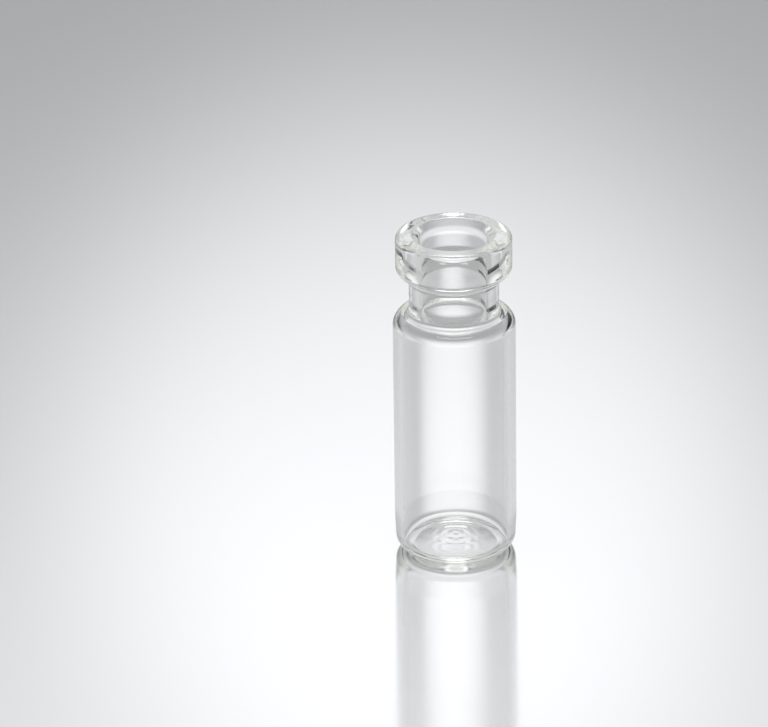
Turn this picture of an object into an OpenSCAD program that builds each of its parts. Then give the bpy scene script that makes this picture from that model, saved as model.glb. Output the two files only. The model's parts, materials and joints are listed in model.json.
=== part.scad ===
// Clear glass sample vial, formed in one piece from glass tube. It has a rounded base with
// a slightly hollow underside and a domed floor, a straight body that narrows a little to
// its foot, a sloping shoulder with a ledge round the neck, a short neck, and a thick,
// flat-topped rim with a flared mouth, that a metal cap is crimped under.

/* [Overall] */
// Height from the standing ring to the sealing face
total_height = 32.2; // [28:0.1:45]

/* [Body] */
// Outside diameter of the body
body_od = 11.6; // [11.2:0.1:13]
// Thickness of the body wall
body_wall = 0.9; // [0.8:0.05:1.15]

/* [Base] */
// Thickness of the floor over the standing ring
floor_thickness = 0.9; // [0.7:0.05:1.5]
// Rise of the inner floor towards its middle
floor_rise = 0.35; // [0.05:0.05:0.6]
// Rounding where the inner wall meets the floor
floor_corner = 0.35; // [0.2:0.05:1.5]
// Rounding of the outer heel
heel = 1.45; // [0.8:0.05:1.8]
// Narrowing of the body towards its foot, on each side
foot_narrowing = 0.15; // [0.05:0.05:0.25]
// Height at which the body starts to narrow
foot_height = 3.2; // [2.5:0.1:5]
// Width of the flat ring that the vial stands on
standing_ring = 0.4; // [0.2:0.1:0.8]
// Rise of the hollow under the middle of the base
punt_rise = 0.35; // [0.05:0.05:0.4]

/* [Shoulder] */
// Slope of the outside of the shoulder above the horizontal, in degrees
shoulder_slope = 33; // [24:1:38]
// Slope of the inside of the shoulder above the horizontal, in degrees
inner_shoulder_slope = 30; // [24:1:38]
// Thickness of the shoulder under the foot of the neck
shoulder_wall = 0.6; // [0.5:0.05:1]
// Rounding from the body wall to the outside of the shoulder
shoulder_round = 1.35; // [0.8:0.05:1.6]
// Rounding from the body wall to the inside of the shoulder
inner_shoulder_round = 0.55; // [0.2:0.05:1.2]
// Rounding from the inside of the shoulder to the bore
throat_round = 2; // [0.2:0.1:2.4]
// Width of the ledge round the foot of the neck
ledge_width = 0.75; // [0.5:0.05:0.9]
// Rounding of the outer edge of the ledge
ledge_round = 0.2; // [0.1:0.05:0.6]

/* [Neck] */
// Outside diameter of the neck
neck_od = 8.5; // [8:0.1:8.8]
// Height of the neck between the ledge and the underside of the rim
neck_length = 3.4; // [2.6:0.1:5]
// Rounding from the ledge to the neck
neck_foot_round = 0.3; // [0.1:0.05:0.4]
// Diameter of the bore through the neck and the rim
bore_d = 6.2; // [5.6:0.1:6.6]

/* [Rim] */
// Outside diameter of the rim
rim_od = 11; // [10.6:0.1:11.4]
// Height of the rim from its lower edge to the sealing face
rim_height = 3.5; // [3:0.1:4]
// Height of the slanted underside of the rim
underside_height = 1; // [0.7:0.05:1.6]
// Rounding of the upper outer edge of the rim
rim_top_round = 0.5; // [0.2:0.05:0.6]
// Rounding of the lower outer edge of the rim
rim_low_round = 0.7; // [0.3:0.05:1]
// Rounding where the slanted underside meets the neck
rim_root_round = 0.4; // [0.2:0.05:0.8]

/* [Mouth] */
// Diameter of the flared mouth at the sealing face
mouth_d = 7.9; // [7.2:0.1:8.2]
// Depth of the flare, down to the straight bore
mouth_depth = 0.85; // [0.7:0.05:2]
// Rounding from the flare to the bore
mouth_round = 1; // [0.3:0.1:1.2]
// Rounding of the lip between the sealing face and the flare
lip_round = 0.25; // [0.1:0.05:0.4]

/* [Hidden] */

// Largest turn of an arc between two of its points, in degrees
arc_step = 7.5;
// Straight pieces along the shallow dome of the floor and of the punt
dome_steps = 6;
// Least number of straight pieces in one rounding
least_steps = 2;
// Rounding where the body starts to narrow
foot_round = 2;
// Largest share of the shoulder's slope that its roundings may take
slope_share = 0.95;

body_r = body_od / 2;
inner_r = body_r - body_wall;
foot_r = body_r - foot_narrowing;
neck_r = neck_od / 2;
ledge_r = neck_r + ledge_width;
bore_r = bore_d / 2;
mouth_r = mouth_d / 2;
rim_r = rim_od / 2;

// Heights, worked down from the sealing face so that the finish keeps its form
rim_low_z = total_height - rim_height;
neck_top_z = rim_low_z - underside_height;
neck_foot_z = neck_top_z - neck_length;

// Height of the outer shoulder line at a distance r from the axis, and of the inner one
function shoulder_z(r) = neck_foot_z - (r - ledge_r) * tan(shoulder_slope);
function inner_shoulder_z(r) =
    neck_foot_z - shoulder_wall / cos(inner_shoulder_slope) - (r - neck_r) * tan(inner_shoulder_slope);

// The shoulder's outer rounding is limited by the length of the slope above it
slope_length = (body_r - ledge_r) / cos(shoulder_slope) - ledge_round * tan(shoulder_slope / 2);
shoulder_fit = min(shoulder_round, slope_share * slope_length / tan(45 - shoulder_slope / 2));

// The throat's rounding is limited by what the inner one leaves of the slope on the inside
inner_slope_length = (inner_r - bore_r) / cos(inner_shoulder_slope);
throat_fit = min(throat_round,
    slope_share * inner_slope_length / tan(45 - inner_shoulder_slope / 2) - inner_shoulder_round);

// The punt starts inside the standing ring, and the dome of the floor at the foot of its corner
punt_r = foot_r - heel - standing_ring;
dome_r = inner_r - floor_corner;

function unit(v) = v / norm(v);

// Points of a shallow dome, numbered outwards from 0 on the axis to dome_steps at its foot:
// it reaches out to radius r and rises by rise over its foot at z
function dome_point(i, r, z, rise) =
    let (share = i / dome_steps)
    [r * share, z + rise * (1 - share * share)];

// The arc of radius size that rounds corner b between the lines to a and to c
function rounded(a, b, c, size) =
    let (
        to_a = unit(a - b),
        to_c = unit(c - b),
        half = acos(to_a * to_c) / 2,
        centre = b + unit(to_a + to_c) * size / sin(half),
        start = b + to_a * size / tan(half) - centre,
        side = cross(to_a, to_c) > 0 ? -1 : 1,
        turn = side * (180 - 2 * half),
        steps = max(least_steps, ceil(abs(turn) / arc_step)),
        start_angle = atan2(start[1], start[0])
    )
    [for (i = [0:steps])
        let (angle = start_angle + turn * i / steps)
        centre + size * [cos(angle), sin(angle)]];

// Corners of the section from the middle of the underside, up the outside and over the
// rim, and down the inside: distance from the axis, height and rounding
corners = [
    [foot_r, 0, heel],
    [body_r, foot_height, foot_round],
    [body_r, shoulder_z(body_r), shoulder_fit],
    [ledge_r, neck_foot_z, ledge_round],
    [neck_r, neck_foot_z, neck_foot_round],
    [neck_r, neck_top_z, rim_root_round],
    [rim_r, rim_low_z, rim_low_round],
    [rim_r, total_height, rim_top_round],
    [mouth_r, total_height, lip_round],
    [bore_r, total_height - mouth_depth, mouth_round],
    [bore_r, inner_shoulder_z(bore_r), throat_fit],
    [inner_r, inner_shoulder_z(inner_r), inner_shoulder_round],
    [inner_r, floor_thickness, floor_corner],
];

// Place of a corner, or of the foot of the punt before the first and of the dome after the last
function at(i) =
    i < 0 ? [punt_r, 0] :
    i == len(corners) ? [dome_r, floor_thickness] :
    [corners[i][0], corners[i][1]];

section = [
    for (i = [0:dome_steps]) dome_point(i, punt_r, 0, punt_rise),
    for (i = [0:len(corners) - 1]) each rounded(at(i - 1), at(i), at(i + 1), corners[i][2]),
    for (i = [dome_steps - 1:-1:0]) dome_point(i, dome_r, floor_thickness, floor_rise),
];

module vial() {
    color([0.82, 0.86, 0.85, 0.5])
    rotate_extrude($fn = 128)
    polygon(section);
}

vial();
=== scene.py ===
"""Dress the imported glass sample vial: a turned piece of glass with its forming marks, in a small studio."""

import json
import logging
import math
from dataclasses import dataclass
from enum import Enum
from typing import Any, Callable

import bpy
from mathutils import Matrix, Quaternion, Vector


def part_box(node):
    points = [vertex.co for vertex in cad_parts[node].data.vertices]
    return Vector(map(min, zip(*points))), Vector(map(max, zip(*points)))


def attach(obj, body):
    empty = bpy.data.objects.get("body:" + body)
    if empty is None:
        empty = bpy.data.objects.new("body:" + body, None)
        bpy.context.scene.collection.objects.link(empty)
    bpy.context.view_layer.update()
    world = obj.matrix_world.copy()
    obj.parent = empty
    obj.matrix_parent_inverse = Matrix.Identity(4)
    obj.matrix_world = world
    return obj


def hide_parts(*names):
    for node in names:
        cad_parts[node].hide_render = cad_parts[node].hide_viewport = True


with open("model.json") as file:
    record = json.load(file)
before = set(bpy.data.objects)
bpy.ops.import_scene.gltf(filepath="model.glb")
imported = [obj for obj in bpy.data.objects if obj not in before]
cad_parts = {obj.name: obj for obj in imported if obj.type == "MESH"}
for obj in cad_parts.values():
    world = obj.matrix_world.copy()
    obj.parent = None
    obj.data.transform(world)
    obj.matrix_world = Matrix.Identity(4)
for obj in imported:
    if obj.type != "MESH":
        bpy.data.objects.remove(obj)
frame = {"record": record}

LOG = logging.getLogger("sample_vial")
MM = 0.001
SAME_PLACE = 0.001 * MM
Colour = tuple[float, float, float, float]
WHITE: Colour = (1.0, 1.0, 1.0, 1.0)


# ---------------------------------------------------------------- shader bench


class Sum(Enum):
    """The sums that a shader's numbers go through."""

    PLUS = "ADD"
    MINUS = "SUBTRACT"
    TIMES = "MULTIPLY"
    OVER = "DIVIDE"
    TO_THE_POWER = "POWER"
    LARGER = "MAXIMUM"
    EXPONENTIAL = "EXPONENT"


class Value:
    """A number that travels through a shader, written with ordinary operators."""

    def __init__(self, bench: "ShaderBench", socket: Any) -> None:
        """Wrap an output socket of a node on the bench."""
        self.bench = bench
        self.socket = socket

    def _maths(self, kind: Sum, first: Any, second: Any = None) -> "Value":
        """Add one Math node.

        Args:
            kind: the sum that the node does.
            first: its first number, a Value or a plain one.
            second: its second number, where it has one.

        Returns:
            The node's result.
        """
        inputs = {0: first} if second is None else {0: first, 1: second}
        return self.bench.value("ShaderNodeMath", {"operation": kind.value}, inputs)

    def __add__(self, other: Any) -> "Value":
        """Return self + other."""
        return self._maths(Sum.PLUS, self, other)

    def __radd__(self, other: Any) -> "Value":
        """Return other + self."""
        return self._maths(Sum.PLUS, other, self)

    def __sub__(self, other: Any) -> "Value":
        """Return self - other."""
        return self._maths(Sum.MINUS, self, other)

    def __rsub__(self, other: Any) -> "Value":
        """Return other - self."""
        return self._maths(Sum.MINUS, other, self)

    def __mul__(self, other: Any) -> "Value":
        """Return self * other."""
        return self._maths(Sum.TIMES, self, other)

    def __rmul__(self, other: Any) -> "Value":
        """Return other * self."""
        return self._maths(Sum.TIMES, other, self)

    def __truediv__(self, other: Any) -> "Value":
        """Return self / other."""
        return self._maths(Sum.OVER, self, other)

    def __rtruediv__(self, other: Any) -> "Value":
        """Return other / self."""
        return self._maths(Sum.OVER, other, self)

    def __pow__(self, other: Any) -> "Value":
        """Return self to the power other."""
        return self._maths(Sum.TO_THE_POWER, self, other)

    def __rpow__(self, other: Any) -> "Value":
        """Return other to the power self."""
        return self._maths(Sum.TO_THE_POWER, other, self)

    def either(self, other: Any) -> "Value":
        """Return the larger of self and other."""
        return self._maths(Sum.LARGER, self, other)

    def exponential(self) -> "Value":
        """Return e to the power self."""
        return self._maths(Sum.EXPONENTIAL, self)


class ShaderBench:
    """Builds the node tree of one material or of the world."""

    def __init__(self, owner: Any) -> None:
        """Clear the owner's node tree.

        Args:
            owner: a material or a world.
        """
        owner.use_nodes = True
        self.tree = owner.node_tree
        self.tree.nodes.clear()

    def node(self, kind: str, settings: dict[str, Any] | None = None,
             inputs: dict[Any, Any] | None = None) -> Any:
        """Add one node.

        Args:
            kind: the node's type.
            settings: the node's own properties, set before its sockets.
            inputs: values, Values or output sockets, by socket name or number.

        Returns:
            The new node.
        """
        made = self.tree.nodes.new(kind)
        for name, setting in (settings or {}).items():
            setattr(made, name, setting)
        for name, given in (inputs or {}).items():
            self.feed(made.inputs[name], given)
        return made

    def feed(self, socket: Any, given: Any) -> None:
        """Link or set one input socket.

        Args:
            socket: the input socket.
            given: a Value, an output socket, or a plain value.
        """
        if isinstance(given, Value):
            self.tree.links.new(given.socket, socket)
        elif isinstance(given, bpy.types.NodeSocket):
            self.tree.links.new(given, socket)
        else:
            socket.default_value = given

    def value(self, kind: str, settings: dict[str, Any], inputs: dict[Any, Any]) -> Value:
        """Add one node and return its first output as a Value."""
        return Value(self, self.node(kind, settings, inputs).outputs[0])

    def scaled(self, colour: Colour, level: Value) -> Any:
        """Return a socket with a colour made brighter or darker by a level."""
        inputs = {"Vector": colour[:3], "Scale": level}
        return self.node("ShaderNodeVectorMath", {"operation": "SCALE"}, inputs).outputs["Vector"]

    def seen(self) -> Value:
        """Tell what the eye sees from the light that falls on surfaces.

        Returns:
            1 for rays from the eye, straight, mirrored or through glass, and 0 for others.
        """
        path = self.node("ShaderNodeLightPath")
        camera = Value(self, path.outputs["Is Camera Ray"])
        mirrored = Value(self, path.outputs["Is Glossy Ray"])
        through = Value(self, path.outputs["Is Transmission Ray"])
        return camera.either(mirrored).either(through)


# ---------------------------------------------------------------- finishes


@dataclass(frozen=True)
class ClearGlass:
    """Clear borosilicate glass with faint draw lines."""

    ior: float = 1.49
    tint: Colour = (0.68, 0.80, 0.52, 1.0)
    tint_density: float = 5.0
    haze: float = 0.012
    draw_line_width: float = 0.5 * MM
    draw_line_length: float = 12 * MM
    draw_line_depth: float = 0.0006 * MM
    draw_line_detail: float = 2.0

    def build(self) -> bpy.types.Material:
        """Make the glass.

        Returns:
            The glass material.
        """
        material = bpy.data.materials.new("clear_glass")
        bench = ShaderBench(material)
        place = bench.node("ShaderNodeTexCoord").outputs["Object"]
        stretch = (1 / self.draw_line_width, 1 / self.draw_line_width, 1 / self.draw_line_length)
        drawn = bench.node("ShaderNodeMapping", {"vector_type": "POINT"}, {"Vector": place, "Scale": stretch})
        lines = bench.value("ShaderNodeTexNoise", {"noise_dimensions": "3D"}, {
            "Vector": drawn.outputs[0], "Scale": 1.0, "Detail": self.draw_line_detail})
        relief = bench.node("ShaderNodeBump", None,
                            {"Strength": 1.0, "Distance": self.draw_line_depth, "Height": lines})
        surface = bench.node("ShaderNodeBsdfPrincipled", None, {
            "Base Color": WHITE,
            "Roughness": lines * self.haze,
            "IOR": self.ior,
            "Transmission Weight": 1.0,
            "Normal": relief.outputs[0],
        })
        inside = bench.node("ShaderNodeVolumeAbsorption", None,
                            {"Color": self.tint, "Density": self.tint_density})
        bench.node("ShaderNodeOutputMaterial", None,
                   {"Surface": surface.outputs[0], "Volume": inside.outputs[0]})
        return material


@dataclass(frozen=True)
class PolishedFloor:
    """A pale floor with a mirror polish."""

    colour: Colour = (0.850, 0.853, 0.860, 1.0)
    mirror: float = 0.86
    dullness: float = 0.10

    def build(self) -> bpy.types.Material:
        """Make the floor's finish.

        Returns:
            The floor material.
        """
        material = bpy.data.materials.new("polished_floor")
        bench = ShaderBench(material)
        surface = bench.node("ShaderNodeBsdfPrincipled", None, {
            "Base Color": self.colour,
            "Metallic": self.mirror,
            "Roughness": self.dullness,
        })
        bench.node("ShaderNodeOutputMaterial", None, {"Surface": surface.outputs[0]})
        return material


@dataclass(frozen=True)
class GlowingBackdrop:
    """A grey backdrop with a wide wash of light across its middle and one round glow in the wash."""

    glow_height: float = 0.366
    glow_width: float = 0.086
    glow_rise: float = 0.098
    glow: float = 0.52
    glow_edge: float = 1.92
    foot: float = 0.37
    wash: float = 0.61
    foot_height: float = 0.20
    full_height: float = 0.52
    fall_height: float = 0.62
    head_height: float = 1.15
    side_fade: float = 1.25
    colour: Colour = (0.985, 0.990, 1.005, 1.0)
    unlit_colour: Colour = (0.8, 0.8, 0.8, 1.0)

    def build(self) -> bpy.types.Material:
        """Make the backdrop's finish.

        Returns:
            The backdrop material.
        """
        material = bpy.data.materials.new("glowing_backdrop")
        bench = ShaderBench(material)
        place = bench.node("ShaderNodeTexCoord").outputs["Object"]
        parts = bench.node("ShaderNodeSeparateXYZ", None, {0: place})
        across = Value(bench, parts.outputs["X"])
        height = Value(bench, parts.outputs["Z"])
        off = (across / self.glow_width) ** 2.0 + ((height - self.glow_height) / self.glow_rise) ** 2.0
        glow = ((off ** self.glow_edge) * -1.0).exponential() * self.glow
        rising = bench.value("ShaderNodeMapRange", {"interpolation_type": "SMOOTHSTEP"}, {
            "Value": height, "From Min": self.foot_height, "From Max": self.full_height,
            "To Min": 0.0, "To Max": self.wash})
        falling = bench.value("ShaderNodeMapRange", {"interpolation_type": "SMOOTHSTEP"}, {
            "Value": height, "From Min": self.fall_height, "From Max": self.head_height,
            "To Min": 1.0, "To Max": 0.0})
        fade = (across / self.side_fade) ** 2.0 + 1.0
        level = self.foot + glow + rising * falling / fade
        shown = bench.node("ShaderNodeEmission", None, {"Color": bench.scaled(self.colour, level)})
        unlit = bench.node("ShaderNodeBsdfDiffuse", None, {"Color": self.unlit_colour})
        mixed = bench.node("ShaderNodeMixShader", None, {
            0: bench.seen(), 1: unlit.outputs[0], 2: shown.outputs[0]})
        bench.node("ShaderNodeOutputMaterial", None, {"Surface": mixed.outputs[0]})
        return material


@dataclass(frozen=True)
class PaintedShadeCard:
    """A near-black card beside the backdrop, at a bearing from straight behind the vial round to the right:
    painted shade, a dark sheet standing in for the unlit side of the room, which the glass shows as dark
    lines.
    """

    bearing: float
    width: float
    height: float
    shade: float
    dullness: float = 0.9

    def build(self) -> bpy.types.Material:
        """Make the card's finish, which has no shine.

        Returns:
            The card's material.
        """
        material = bpy.data.materials.new("painted_shade_card")
        bench = ShaderBench(material)
        # the card's near-black colour is painted shade, standing in for the dark side of the room
        surface = bench.node("ShaderNodeBsdfPrincipled", None, {
            "Base Color": (self.shade, self.shade, self.shade, 1.0),
            "Roughness": self.dullness,
            "Specular IOR Level": 0.0,
        })
        bench.node("ShaderNodeOutputMaterial", None, {"Surface": surface.outputs[0]})
        return material


# ---------------------------------------------------------------- the vial


@dataclass
class Corner:
    """One corner of the vial's section."""

    radius: float
    height: float
    rounding: float = 0.0

    @property
    def place(self) -> Vector:
        """The corner's point in the XZ plane."""
        return Vector((self.radius, 0.0, self.height))


@dataclass
class GlassVial:
    """The vial, turned from its section as one piece of glass."""

    height: float
    body_radius: float
    rim_radius: float
    bore_radius: float
    body_wall: float = 0.9 * MM
    floor_thickness: float = 0.9 * MM
    floor_rise: float = 0.35 * MM
    ring_spacing: float = 0.92 * MM
    ring_depth: float = 0.014 * MM
    ring_reach: float = 3.2 * MM
    floor_corner: float = 0.35 * MM
    heel: float = 1.45 * MM
    foot_narrowing: float = 0.15 * MM
    foot_height: float = 3.2 * MM
    foot_round: float = 2.0 * MM
    standing_ring: float = 0.4 * MM
    punt_rise: float = 0.35 * MM
    shoulder_slope: float = math.radians(33)
    shoulder_round: float = 1.35 * MM
    inner_shoulder_slope: float = math.radians(30)
    shoulder_wall: float = 0.6 * MM
    inner_shoulder_round: float = 0.55 * MM
    throat_round: float = 2.0 * MM
    neck_radius: float = 4.25 * MM
    neck_length: float = 3.4 * MM
    neck_foot_round: float = 0.3 * MM
    ledge_width: float = 0.75 * MM
    ledge_round: float = 0.2 * MM
    rim_height: float = 3.5 * MM
    underside_height: float = 1.0 * MM
    rim_top_round: float = 0.5 * MM
    rim_low_round: float = 0.7 * MM
    rim_root_round: float = 0.4 * MM
    mouth_radius: float = 3.95 * MM
    mouth_depth: float = 0.85 * MM
    mouth_foot_round: float = 1.0 * MM
    lip_round: float = 0.25 * MM
    mark_size: float = 1.2 * MM
    mark_depth: float = 0.008 * MM
    weld_distance: float = 0.0005 * MM
    spin_steps: int = 192
    arc_step: float = math.radians(7.5)
    least_steps: int = 4
    wall_step: float = 0.6 * MM
    fine_step: float = 0.12 * MM

    @property
    def neck_foot(self) -> float:
        """The height of the neck's foot and of the ledge round it."""
        return self.height - self.rim_height - self.underside_height - self.neck_length

    def shoulder_at(self, radius: float) -> float:
        """Return the height of the outer shoulder line at a distance from the axis."""
        return self.neck_foot - (radius - self.neck_radius - self.ledge_width) * math.tan(self.shoulder_slope)

    def inner_shoulder_at(self, radius: float) -> float:
        """Return the height of the inner shoulder line at a distance from the axis."""
        lowered = self.shoulder_wall / math.cos(self.inner_shoulder_slope)
        return self.neck_foot - lowered - (radius - self.neck_radius) * math.tan(self.inner_shoulder_slope)

    def corners(self) -> list[Corner]:
        """List the section's corners.

        Returns:
            The corners, from the middle of the underside round the outside to the middle of the floor.
        """
        inner = self.body_radius - self.body_wall
        rim_low = self.height - self.rim_height
        return [
            Corner(0.0, 0.0),
            Corner(self.body_radius - self.foot_narrowing, 0.0, self.heel),
            Corner(self.body_radius, self.foot_height, self.foot_round),
            Corner(self.body_radius, self.shoulder_at(self.body_radius), self.shoulder_round),
            Corner(self.neck_radius + self.ledge_width, self.neck_foot, self.ledge_round),
            Corner(self.neck_radius, self.neck_foot, self.neck_foot_round),
            Corner(self.neck_radius, rim_low - self.underside_height, self.rim_root_round),
            Corner(self.rim_radius, rim_low, self.rim_low_round),
            Corner(self.rim_radius, self.height, self.rim_top_round),
            Corner(self.mouth_radius, self.height, self.lip_round),
            Corner(self.bore_radius, self.height - self.mouth_depth, self.mouth_foot_round),
            Corner(self.bore_radius, self.inner_shoulder_at(self.bore_radius), self.throat_round),
            Corner(inner, self.inner_shoulder_at(inner), self.inner_shoulder_round),
            Corner(inner, self.floor_thickness, self.floor_corner),
            Corner(0.0, self.floor_thickness),
        ]

    def draw_section(self) -> bpy.types.Object:
        """Draw the section as a line of edges from corner to corner, and round each corner.

        Returns:
            The section, in the XZ plane.
        """
        corners = self.corners()
        bpy.ops.object.select_all(action="DESELECT")
        bpy.ops.mesh.primitive_plane_add(size=self.body_radius, location=corners[0].place)
        piece = bpy.context.object
        piece.name = "vial_glass"
        piece.data.name = "vial_glass"
        bpy.ops.object.mode_set(mode="EDIT")
        bpy.ops.mesh.select_all(action="SELECT")
        bpy.ops.mesh.merge(type="CENTER")
        for before, after in zip(corners, corners[1:]):
            bpy.ops.mesh.extrude_region_move(
                TRANSFORM_OT_translate={"value": after.place - before.place})
        bpy.ops.object.mode_set(mode="OBJECT")
        piece.data.transform(piece.matrix_world)
        piece.matrix_world.identity()
        for before, corner, after in zip(corners, corners[1:], corners[2:]):
            self.round_corner(piece, before, corner, after)
        self.divide_walls(piece)
        return piece

    def round_corner(self, piece: bpy.types.Object, before: Corner, corner: Corner, after: Corner) -> None:
        """Round one corner of the section to its radius.

        Args:
            piece: the section.
            before: the corner before it.
            corner: the corner that is rounded.
            after: the corner after it.
        """
        inside = (before.place - corner.place).angle(after.place - corner.place)
        steps = max(self.least_steps, math.ceil((math.pi - inside) / self.arc_step))
        self.select_points(piece, lambda point: (point - corner.place).length < SAME_PLACE)
        bpy.ops.object.mode_set(mode="EDIT")
        bpy.ops.mesh.bevel(offset_type="OFFSET", offset=corner.rounding / math.tan(inside / 2),
                           segments=steps, profile=0.5, affect="VERTICES")
        bpy.ops.object.mode_set(mode="OBJECT")

    def divide_walls(self, piece: bpy.types.Object) -> None:
        """Divide the section's straight lines, finely in the base and the finish, less so in the wall.

        Args:
            piece: the section.
        """
        low = self.foot_height
        high = self.shoulder_at(self.body_radius) - self.shoulder_round
        spans_by_cuts: dict[int, list[tuple[Vector, Vector]]] = {}
        for edge in piece.data.edges:
            ends = [piece.data.vertices[number].co for number in edge.vertices]
            length = (ends[1] - ends[0]).length
            plain = min(ends[0].z, ends[1].z) < high and max(ends[0].z, ends[1].z) > low
            step = self.wall_step if plain else self.fine_step
            if length > step:
                spans = spans_by_cuts.setdefault(math.ceil(length / step) - 1, [])
                spans.append((ends[0].copy(), ends[1].copy()))
        for cuts, spans in spans_by_cuts.items():
            for span in spans:
                self.select_span(piece, span)
                bpy.ops.object.mode_set(mode="EDIT")
                bpy.ops.mesh.subdivide(number_cuts=cuts)
                bpy.ops.object.mode_set(mode="OBJECT")

    @staticmethod
    def select_span(piece: bpy.types.Object, span: tuple[Vector, Vector]) -> None:
        """Select the one edge that runs from one point to another.

        Args:
            piece: the section.
            span: the edge's two ends, in the edge's own order.
        """
        bpy.context.tool_settings.mesh_select_mode = (False, True, False)
        for vertex in piece.data.vertices:
            vertex.select = False
        for edge in piece.data.edges:
            ends = [piece.data.vertices[number].co for number in edge.vertices]
            apart = (ends[0] - span[0]).length + (ends[1] - span[1]).length
            edge.select = apart < SAME_PLACE

    @staticmethod
    def select_points(piece: bpy.types.Object, wanted: Callable[[Vector], bool]) -> None:
        """Select some of the section's points.

        Args:
            piece: the section.
            wanted: says of a place whether the point there is wanted.
        """
        bpy.context.tool_settings.mesh_select_mode = (True, False, False)
        for edge in piece.data.edges:
            edge.select = False
        for vertex in piece.data.vertices:
            vertex.select = wanted(vertex.co)

    def turn(self, piece: bpy.types.Object) -> None:
        """Spin the section into a closed solid of revolution.

        Args:
            piece: the section, which becomes the solid.
        """
        bpy.ops.object.mode_set(mode="EDIT")
        bpy.ops.mesh.select_all(action="SELECT")
        bpy.ops.mesh.spin(steps=self.spin_steps, angle=math.tau, center=(0.0, 0.0, 0.0), axis=(0.0, 0.0, 1.0))
        bpy.ops.mesh.select_all(action="SELECT")
        bpy.ops.mesh.remove_doubles(threshold=self.weld_distance)
        bpy.ops.mesh.normals_make_consistent(inside=False)
        bpy.ops.object.mode_set(mode="OBJECT")
        bpy.ops.object.shade_smooth()

    def mark_finish(self, piece: bpy.types.Object) -> None:
        """Leave the faint unevenness of forming on the shoulder, the neck and the rim.

        Args:
            piece: the turned vial.
        """
        formed = piece.vertex_groups.new(name="formed")
        low = self.shoulder_at(self.body_radius) - self.shoulder_round
        for vertex in piece.data.vertices:
            share = (vertex.co.z - low) / (self.neck_foot - low)
            if share > 0:
                formed.add([vertex.index], min(1.0, share), "REPLACE")
        unevenness = bpy.data.textures.new("forming_marks", "CLOUDS")
        unevenness.noise_scale = self.mark_size
        marks = piece.modifiers.new("forming_marks", "DISPLACE")
        marks.texture = unevenness
        marks.texture_coords = "LOCAL"
        marks.vertex_group = formed.name
        marks.strength = self.mark_depth
        bpy.context.view_layer.objects.active = piece
        bpy.ops.object.modifier_apply(modifier=marks.name)
        piece.vertex_groups.clear()

    def shape_domes(self, piece: bpy.types.Object) -> None:
        """Raise the middle of the floor and of the punt, and put the ring ripples in the floor.

        Args:
            piece: the section, not turned yet.
        """
        floor_reach = self.body_radius - self.body_wall - self.floor_corner
        punt_reach = self.body_radius - self.foot_narrowing - self.heel - self.standing_ring
        for vertex in piece.data.vertices:
            point = vertex.co
            if point.z < self.floor_thickness / 2 and point.x < punt_reach:
                point.z += self.punt_rise * self.dome(point.x / punt_reach)
            elif abs(point.z - self.floor_thickness) < SAME_PLACE and point.x < floor_reach:
                ripple = math.cos(math.tau * point.x / self.ring_spacing)
                ripple *= self.dome(min(1.0, point.x / self.ring_reach))
                point.z += self.floor_rise * self.dome(point.x / floor_reach) + self.ring_depth * ripple

    @staticmethod
    def dome(share: float) -> float:
        """Return the height of a dome of height 1 at a share of its reach."""
        return 1 - share ** 2

    def build(self) -> bpy.types.Object:
        """Make the vial.

        Returns:
            The finished vial.
        """
        piece = self.draw_section()
        self.shape_domes(piece)
        self.turn(piece)
        self.mark_finish(piece)
        piece.data.materials.append(ClearGlass().build())
        return piece


# ---------------------------------------------------------------- the studio


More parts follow.
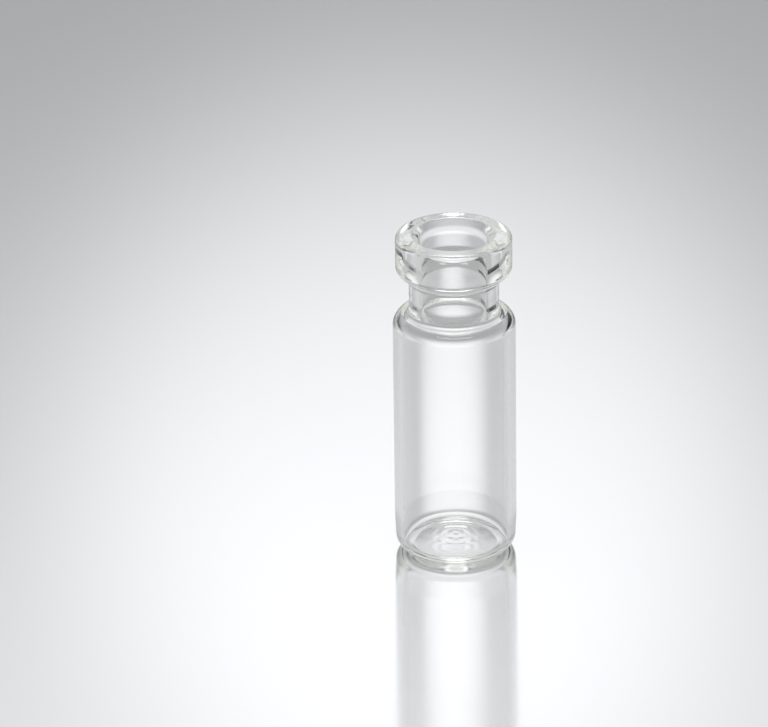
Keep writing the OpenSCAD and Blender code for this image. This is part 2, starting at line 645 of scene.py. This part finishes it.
@dataclass
class Studio:
    """Floor, backdrop, dark cards of painted shade, room light, lamp and camera."""

    floor_reach: float = 0.80
    floor_gap: float = 0.02 * MM
    backdrop_distance: float = 0.785
    backdrop_width: float = 2.4
    backdrop_height: float = 1.2
    card_distance: float = 0.50
    # near-black sheets standing in for the dark side of the room: painted shade that the glass shows as dark
    # edges
    cards: tuple[PaintedShadeCard, ...] = (
        PaintedShadeCard(bearing=math.radians(48), width=0.50, height=0.12, shade=0.012),
        PaintedShadeCard(bearing=math.radians(-36), width=0.20, height=0.07, shade=0.20),
    )
    view_distance: float = 0.6018
    view_elevation: float = math.radians(24.34)
    lens: float = 294.8
    sensor: float = 36.0
    roll: float = math.radians(0.75)
    aim_left: float = 6.66 * MM
    aim_up: float = 17.3 * MM
    nearest_seen: float = 0.05
    farthest_seen: float = 10.0
    room_light: float = 0.38
    band_light: float = 0.25
    band_rise: float = 0.5
    band_width: float = 0.35
    front_light: float = 0.70
    side_light: float = 0.08
    lamp_place: tuple[float, float, float] = (0.0, 0.1, 0.9)
    lamp_size: float = 0.5
    lamp_power: float = 2.5
    light_bounces: int = 64

    def lay_floor(self) -> None:
        """Add the floor."""
        bpy.ops.object.select_all(action="DESELECT")
        bpy.ops.mesh.primitive_plane_add(size=2 * self.floor_reach, location=(0.0, 0.0, -self.floor_gap))
        floor = bpy.context.object
        floor.name = "studio_floor"
        floor.data.materials.append(PolishedFloor().build())

    def hang_backdrop(self) -> None:
        """Add the backdrop behind the floor."""
        bpy.ops.object.select_all(action="DESELECT")
        bpy.ops.mesh.primitive_plane_add(size=1.0, location=(0.0, 0.0, 0.0))
        backdrop = bpy.context.object
        backdrop.name = "studio_backdrop"
        backdrop.scale = (self.backdrop_width, self.backdrop_height, 1.0)
        backdrop.rotation_euler = (math.radians(90), 0.0, 0.0)
        backdrop.location = (0.0, self.backdrop_distance, self.backdrop_height / 2)
        bpy.ops.object.transform_apply(location=True, rotation=True, scale=True)
        backdrop.data.materials.append(GlowingBackdrop().build())

    def stand_card(self, kind: PaintedShadeCard) -> None:
        """Stand a dark card on the floor, facing the vial, to put painted shade in the glass as dark lines.

        Args:
            kind: the card, its size and its bearing.
        """
        bpy.ops.object.select_all(action="DESELECT")
        bpy.ops.mesh.primitive_plane_add(size=1.0, location=(0.0, 0.0, 0.0))
        card = bpy.context.object
        card.name = "painted_shade_card"
        card.scale = (kind.width, kind.height, 1.0)
        card.rotation_euler = (math.radians(90), 0.0, -kind.bearing)
        aside = self.card_distance * math.sin(kind.bearing)
        behind = self.card_distance * math.cos(kind.bearing)
        card.location = (aside, behind, kind.height / 2)
        bpy.ops.object.transform_apply(location=True, rotation=True, scale=True)
        card.data.materials.append(kind.build())

    def light_room(self) -> None:
        """Light the room from all round, most at mid height in front, with one broad soft lamp above."""
        world = bpy.data.worlds.new("studio_room")
        bpy.context.scene.world = world
        bench = ShaderBench(world)
        way = bench.node("ShaderNodeTexCoord").outputs["Generated"]
        parts = bench.node("ShaderNodeSeparateXYZ", None, {0: way})
        rise = Value(bench, parts.outputs["Z"])
        ahead = Value(bench, parts.outputs["Y"])
        aside = Value(bench, parts.outputs["X"])
        band = (((rise - self.band_rise) / self.band_width) ** 2.0 * -1.0).exponential()
        front = (ahead * -1.0).either(0.0) * band
        level = band * self.band_light + front * self.front_light - aside * self.side_light + self.room_light
        sky = bench.node("ShaderNodeBackground", None, {"Color": bench.scaled(WHITE, level.either(0.0))})
        bench.node("ShaderNodeOutputWorld", None, {"Surface": sky.outputs[0]})
        bpy.ops.object.light_add(type="AREA", location=self.lamp_place)
        lamp = bpy.context.object
        lamp.name = "overhead_softbox"
        lamp.data.shape = "SQUARE"
        lamp.data.size = self.lamp_size
        lamp.data.energy = self.lamp_power

    def place_camera(self) -> None:
        """Add the camera, looking down at the vial from in front."""
        ahead = Vector((0.0, math.cos(self.view_elevation), -math.sin(self.view_elevation)))
        up = Vector((0.0, math.sin(self.view_elevation), math.cos(self.view_elevation)))
        right = Vector((1.0, 0.0, 0.0))
        camera_data = bpy.data.cameras.new("studio_camera")
        camera_data.lens = self.lens
        camera_data.sensor_width = self.sensor
        camera_data.clip_start = self.nearest_seen
        camera_data.clip_end = self.farthest_seen
        camera = bpy.data.objects.new("studio_camera", camera_data)
        bpy.context.collection.objects.link(camera)
        camera.location = -self.view_distance * ahead - self.aim_left * right + self.aim_up * up
        facing = ahead.to_track_quat("-Z", "Y")
        facing.rotate(Quaternion(ahead, self.roll))
        camera.rotation_mode = "QUATERNION"
        camera.rotation_quaternion = facing
        bpy.context.scene.camera = camera

    def build(self) -> None:
        """Set up the whole studio."""
        self.lay_floor()
        self.hang_backdrop()
        for card in self.cards:
            self.stand_card(card)
        self.light_room()
        self.place_camera()
        scene = bpy.context.scene
        scene.view_settings.view_transform = "Standard"
        scene.cycles.max_bounces = self.light_bounces
        scene.cycles.glossy_bounces = self.light_bounces
        scene.cycles.transmission_bounces = self.light_bounces


def main() -> None:
    """Build the vial in place of the imported part, and build the studio."""
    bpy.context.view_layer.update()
    low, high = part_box("vial")
    mounts = {mount["name"]: mount for mount in frame["record"]["mounts"]}
    vial = GlassVial(
        height=high.z - low.z,
        body_radius=(high.x - low.x) / 2,
        rim_radius=mounts["crimp_rim"]["dims"]["r_mm"] * MM,
        bore_radius=mounts["mouth"]["dims"]["r_mm"] * MM,
    )
    glass = vial.build()
    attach(glass, "root")
    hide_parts("vial")
    LOG.info("%s: %d faces", glass.name, len(glass.data.polygons))
    Studio().build()


if __name__ == "__main__":
    logging.basicConfig(level=logging.INFO, format="%(name)s: %(message)s")
    main()
